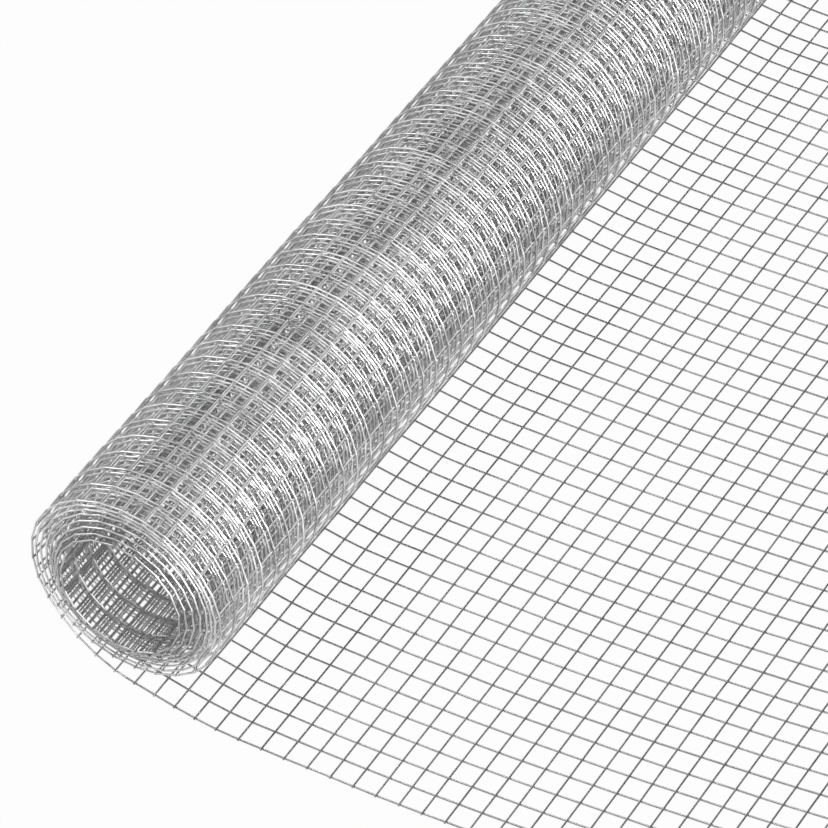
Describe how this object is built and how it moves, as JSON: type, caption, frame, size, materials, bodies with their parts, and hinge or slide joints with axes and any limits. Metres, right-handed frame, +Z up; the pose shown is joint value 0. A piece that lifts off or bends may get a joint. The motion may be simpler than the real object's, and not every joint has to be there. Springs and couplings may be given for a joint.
{
  "type": "roll of wire fencing",
  "caption": "Roll of galvanised welded wire mesh lying on its side, its outer end unrolled along the floor as an open sheet of square mesh.",
  "frame": {"origin": "centre of the footprint, on the floor the roll and its sheet lie on", "axes": "+X along the unrolled sheet, away from the roll; +Y along the roll's axis, away from the front end; +Z up"},
  "size_m": [0.4924, 0.9294, 0.1114],
  "materials": {
    "galvanised_wire": "dull galvanised zinc"
  },
  "bodies": {
    "root": {"mesh_roll": "galvanised_wire", "flat_mesh_1": "galvanised_wire", "flat_mesh_2": "galvanised_wire", "flat_mesh_3": "galvanised_wire", "flat_mesh_4": "galvanised_wire", "flat_mesh_5": "galvanised_wire", "flat_mesh_6": "galvanised_wire", "flat_mesh_7": "galvanised_wire"}
  },
  "joints": []
}
